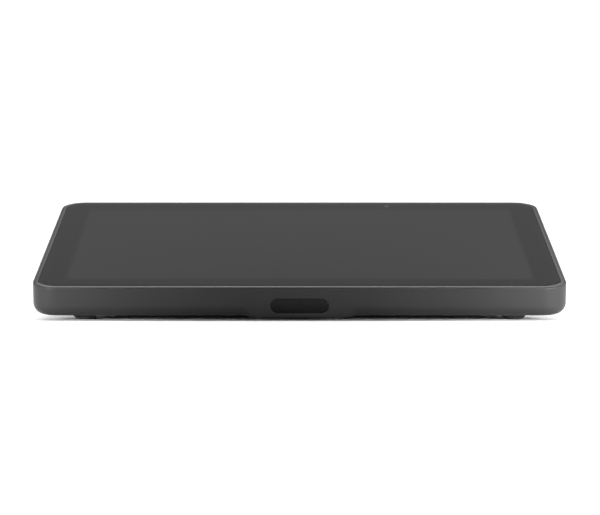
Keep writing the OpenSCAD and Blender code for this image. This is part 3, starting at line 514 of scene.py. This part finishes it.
def makeHousing():
    # an outer and an inner skin carried round the outline, joined at the lip and in the pill opening
    path, normal = outlinePath(housingFrontXs(), 24, 14)
    low = bellyRadii(path)
    points, faces = [], []
    half = housing["patchHalf"]
    front = np.where((np.abs(path[:, 0]) <= half + 1e-9) & (path[:, 1] < 1e-9))[0]
    c0, c1 = int(front.min()), int(front.max())
    starts, rims = [0], []
    for build in (outerProfile, innerProfile):
        inset, height, r0 = build(low)
        first, r1 = starts[-1], r0 + housing["patchRows"]
        rows, cols = inset.shape
        points.append(sweepLoop(path, normal, inset, height).reshape(-1, 3))
        faces += wallFaces(rows, cols, first, (r0, r1), (c0, c1)).tolist()
        faces.append(list(range(first + (rows - 1) * cols, first + rows * cols)))
        rims.append((ringOfHole(r0, r1, c0, c1, cols, first), inset[r0, c0]))
        starts.append(first + rows * cols)
    lip = np.stack([np.arange(cols), (np.arange(cols) + 1) % cols], -1)
    faces += [[a, b, b + starts[1], a + starts[1]] for a, b in lip.tolist()]
    # the opening: a patch round it outside, a rolled edge, the tunnel and a patch inside
    everything = np.concatenate(points)
    centre = np.array([0, -slab["thick"] + housing["pillUp"]])
    ringOut = rims[0][0]
    ringIn, depthIn = rims[1]
    around = everything[ringOut][:, [0, 2]] - centre
    e = housing["pillEdge"]
    rolled = ((2 * e, 0), (1.1 * e, 0.02 * e), (0.35 * e, 0.35 * e), (0, 1.1 * e), (0, depthIn))
    loops = []
    for grow, depth in rolled:
        length, tall = housing["pillLength"] + 2 * grow, housing["pillHeight"] + 2 * grow
        flat = pillPoint(around, length, tall, centre)
        loops.append(np.stack([flat[:, 0], np.full(len(flat), depth), flat[:, 1]], -1))
    count = len(ringOut)
    start = len(everything)
    step = np.arange(count)
    after = (step + 1) % count
    chain = [ringOut] + [start + i * count + step for i in range(len(loops))] + [ringIn]
    for a, b in zip(chain[:-1], chain[1:]):
        faces += np.stack([a, a[after], b[after], b], -1).tolist()
    points = np.concatenate([everything] + loops)
    return makePiece("housing_shell", toWorld(points), faces,
                     "display", "display_housing", "graphite_shell", 32)


makeHousing()
print("housing made")

# trim ring, glass and sensor window

trimRing = {"rise": 0, "edge": 0.06 * mm, "inner": 0.03 * mm, "drop": 1.85 * mm, "air": 0.02 * mm}


def sweepPlate(name, d, h, node, slotName, closed, sharp):
    # carries a profile of insets d and heights h round the slab's outline; a closed profile
    # makes a ring, and an open one is capped at both its ends
    x = slab["halfWidth"] - slab["corner"]
    path, normal = outlinePath(np.linspace(-x, x, 30), 30, 18)
    d, h = np.asarray(d), np.asarray(h)
    ones = np.ones(len(path))
    grid = sweepLoop(path, normal, d[:, None] * ones, h[:, None] * ones)
    rows, cols = len(d), len(path)
    faces = gridFaces(rows, cols, closeRows=closed, closeCols=True).tolist()
    if not closed:
        faces.append(list(range(cols)))
        faces.append(list(range((rows - 1) * cols, rows * cols)))
    return makePiece(name, toWorld(grid), faces, "display", node, slotName, sharp)


def makeTrim():
    # a thin upright band with a rounded outer top edge and a small inner chamfer
    t = trimRing
    a = slab["chamfer"] + slab["land"] + t["air"]
    b = slab["chamfer"] + slab["land"] + slab["trim"]
    e, top, low = t["edge"], t["rise"], -t["drop"]
    i = t["inner"]
    d = [a, a, a + 0.3 * e, a + e, b - i, b, b]
    h = [low, top - e, top - 0.3 * e, top, top, top - i, low]
    return sweepPlate("trim_band", d, h, "trim_ring", "trim_metal", True, 40)


coverGlass = {"thick": 1.8 * mm, "edge": 0.15 * mm, "ledge": 4 * mm}


def makeGlass():
    # a flat plate with a rounded top edge and a chamfered bottom one
    g = coverGlass
    start = slab["chamfer"] + slab["land"] + slab["trim"] + slab["trimGap"]
    r, t = g["edge"], g["thick"]
    edge = arcPoints((start + r, -r), r, 180, 90, 6)
    d = [start + r, start] + edge[:, 0].tolist() + [start + g["ledge"]]
    h = [-t, -t + r] + edge[:, 1].tolist() + [0]
    return sweepPlate("glass_plate", d, h, "cover_glass", "front_glass", False, 50)


def pillLoop(length, height, count=64):
    # a pill outline by angle from its middle, with even steps along its length
    h, l = height / 2, (length - height) / 2
    total = 4 * l + 2 * math.pi * h
    s = np.linspace(0, total, count, endpoint=False)
    a = (s - 2 * l) / h
    b = (s - 4 * l - math.pi * h) / h
    x = np.select([s < 2 * l, s < 2 * l + math.pi * h, s < 4 * l + math.pi * h],
                  [s - l, l + h * np.sin(a), l - (s - 2 * l - math.pi * h)], -l - h * np.sin(b))
    z = np.select([s < 2 * l, s < 2 * l + math.pi * h, s < 4 * l + math.pi * h],
                  [-h + 0 * s, -h * np.cos(a), h + 0 * s], h * np.cos(b))
    return np.stack([x, z], -1)


sensorWindow = {"recess": 0.2 * mm, "edge": 0.2 * mm, "air": 0.05 * mm, "behind": 0.3 * mm}


def makeWindow():
    # pill plate with a rounded front edge, a little behind the housing's face
    s = sensorWindow
    w = -slab["thick"] + housing["pillUp"]
    rings = []
    for a in np.radians(np.linspace(90, 0, 6)):
        shrink = s["air"] + s["edge"] * (1 - math.cos(a))
        rings.append((shrink, s["recess"] + s["edge"] * (1 - math.sin(a))))
    rings += [(s["air"], slab["wall"] + s["behind"])]
    loops = []
    for shrink, depth in rings:
        flat = pillLoop(housing["pillLength"] - 2 * shrink, housing["pillHeight"] - 2 * shrink)
        loops.append(np.stack([flat[:, 0], np.full(len(flat), depth), w + flat[:, 1]], -1))
    cols = loops[0].shape[0]
    faces = gridFaces(len(loops), cols, closeCols=True).tolist()
    faces += [list(range(cols)), list(range((len(loops) - 1) * cols, len(loops) * cols))]
    return makePiece("window_pill", toWorld(np.array(loops)), faces,
                     "display", "sensor_lens", "sensor_window", 40)


makeTrim()
makeGlass()
makeWindow()
print("trim, glass and window made")

# pieces kept from the frame, with broken edges

def softEdges(node, name, width, angle=35):
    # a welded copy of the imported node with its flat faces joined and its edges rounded
    source = frame["nodes"][node]
    mesh = source.data.copy()
    bm = bmesh.new()
    bm.from_mesh(mesh)
    bmesh.ops.remove_doubles(bm, verts=bm.verts, dist=2e-6)
    bmesh.ops.dissolve_limit(bm, angle_limit=math.radians(1), verts=bm.verts, edges=bm.edges)
    bmesh.ops.recalc_face_normals(bm, faces=bm.faces)
    bm.to_mesh(mesh)
    bm.free()
    piece = placeObject(name, mesh, angle)
    bevel = piece.modifiers.new("edges", "BEVEL")
    bevel.width = width
    bevel.segments = 2
    bevel.limit_method = "ANGLE"
    bevel.angle_limit = math.radians(angle)
    bevel.harden_normals = False
    bevel.use_clamp_overlap = True
    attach(piece, source["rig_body"])
    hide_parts(node)
    return piece


rounded = {
    "base_shell": ("base_wedge", 0.6 * mm),
    "cable_cover": ("bay_cover", 0.25 * mm),
    "cable_grommet": ("exit_lining", 0.3 * mm),
    "cable_anchor": ("anchor_bar", 0.3 * mm),
}
for node, (name, width) in rounded.items():
    softEdges(node, name, width)
print("edges rounded on", len(rounded), "pieces")

# feet: a low rubber dome, its profile turned about an upright axis

foot = {
    "flat": 3.9 * mm,       # radius of the flat that it stands on
    "dome": 6.6 * mm,
    "groove": 0.25 * mm,    # depth of the shallow dish in the flat
    "rim": 0.25 * mm,       # the dome stops this far below the shell
    "spigot": 3 * mm,
    "spigotTall": 0.9 * mm,
}


def makeFoot(x, y, top):
    # a dome of one radius cut by the ground, r(z) = sqrt(dome^2 - (c - z)^2), with its spigot above
    f = foot
    c = math.sqrt(f["dome"] ** 2 - f["flat"] ** 2)
    z = np.linspace(0, top - f["rim"], 9)
    r = np.sqrt(f["dome"] ** 2 - (c - z) ** 2)
    profile = [(0, f["groove"]), (f["flat"] * 0.55, f["groove"]), (f["flat"] * 0.66, 0.02 * mm)]
    profile += [(f["flat"] * 0.96, 0)] + list(zip(r[1:], z[1:]))
    profile += [(r[-1] - 0.15 * mm, top - 0.04 * mm), (r[-1] - 0.4 * mm, top), (f["spigot"], top)]
    profile += [(f["spigot"], top + f["spigotTall"]), (0, top + f["spigotTall"])]
    p = np.array(profile)
    a = np.linspace(0, 2 * math.pi, 48, endpoint=False)
    grid = np.stack([x + p[:, :1] * np.cos(a), y + p[:, :1] * np.sin(a), p[:, 1:] + 0 * a], -1)
    return grid, gridFaces(len(p), len(a), closeCols=True)


def makeFeet(node, name):
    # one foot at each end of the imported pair's box
    lo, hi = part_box(node)
    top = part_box("base_shell")[0].z
    y = (lo.y + hi.y) / 2
    r = (hi.y - lo.y) / 2
    points, faces, first = [], [], 0
    for x in (lo.x + r, hi.x - r):
        grid, quads = makeFoot(x, y, top)
        points.append(grid.reshape(-1, 3))
        faces += (quads + first).tolist()
        first += len(points[-1])
    return makePiece(name, np.concatenate(points), faces, "display", node, "foot_rubber", 50)


makeFeet("front_feet", "foot_pair_front")
makeFeet("rear_feet", "foot_pair_back")
print("feet made")

# floor, backdrop, light and camera

stageSet = {"white": 0.9, "half": 2.2, "front": -2.5, "back": 2.0, "tall": 0.6, "bend": 0.35}


def makeStage():
    # a flat floor that turns up at the back through a quarter circle into a low backdrop
    s = stageSet
    newFinish("stage_floor", (s["white"],) * 3, 0.9, 0, 0.0)
    a = np.radians(np.linspace(0, 90, 13))[1:]
    flat = np.append(s["front"], np.linspace(-1.2, s["back"] - s["bend"], 6))
    y = np.concatenate([flat, s["back"] - s["bend"] + s["bend"] * np.sin(a), [s["back"]]])
    z = np.concatenate([0 * flat, s["bend"] * (1 - np.cos(a)), [s["tall"]]])
    x = np.linspace(-s["half"], s["half"], 5)
    grid = np.stack(np.broadcast_arrays(x[None, :], y[:, None], z[:, None]), -1)
    mesh = bpy.data.meshes.new("sweep")
    mesh.from_pydata(grid.reshape(-1, 3).tolist(), [], gridFaces(len(y), len(x)).tolist())
    mesh.polygons.foreach_set("use_smooth", np.ones(len(mesh.polygons), bool))
    sweep = bpy.data.objects.new("sweep", mesh)
    bpy.context.scene.collection.objects.link(sweep)
    mesh.materials.append(finishes["stage_floor"])


def areaLight(name, place, target, size, power, spread):
    # a soft rectangular light, width by height, turned from its place to its target
    data = bpy.data.lights.new(name, "AREA")
    data.energy = power
    data.shape = "RECTANGLE"
    data.size, data.size_y = size
    data.spread = math.radians(spread)
    light = bpy.data.objects.new(name, data)
    light.location = place
    light.rotation_euler = (Vector(target) - Vector(place)).to_track_quat("-Z", "Y").to_euler()
    bpy.context.scene.collection.objects.link(light)


# each light's place, target, width and height in metres, power in watts and spread in degrees
lights = {
    "top": ((0, 0.75, 1.3), (0, 0.75, 0), (3.4, 1.3), 54, 180),
    "apron": ((0, -0.85, 1.1), (0, -0.85, 0), (0.8, 0.8), 1.2, 60),
    "front": ((0, -2.2, 0.1), (0, 0, 0.1), (2.4, 0.18), 9, 180),
    "left": ((-0.27, -0.28, 0.045), (-0.15, -0.08, 0.03), (0.1, 0.06), 0.17, 42),
    "right": ((0.27, -0.28, 0.045), (0.15, -0.08, 0.03), (0.1, 0.06), 0.3, 48),
    "back": ((0, 1.1, 0.9), (0, 2.0, 0.1), (2.4, 0.5), 0.3, 180),
}
roomGrey = 0.22


def makeLight():
    for name, settings in lights.items():
        areaLight(name, *settings)
    world = bpy.data.worlds.new("room")
    world.use_nodes = True
    world.node_tree.nodes["Background"].inputs[0].default_value = (1, 1, 1, 1)
    world.node_tree.nodes["Background"].inputs[1].default_value = roomGrey
    bpy.context.scene.world = world
    bpy.context.scene.view_settings.view_transform = "Standard"


camera = {"back": 1092 * mm, "height": 43.3 * mm, "lens": 146.0, "pitch": 0.785, "x": 0.2 * mm}


def makeCamera():
    data = bpy.data.cameras.new("view")
    data.lens = camera["lens"]
    data.sensor_width = 36
    data.clip_start, data.clip_end = 0.05, 30
    view = bpy.data.objects.new("view", data)
    view.location = (camera["x"], slab["y"] - camera["back"], camera["height"])
    view.rotation_euler = (math.radians(90 - camera["pitch"]), 0, 0)
    bpy.context.scene.collection.objects.link(view)
    bpy.context.scene.camera = view


makeStage()
makeLight()
makeCamera()
print("stage, light and camera made")
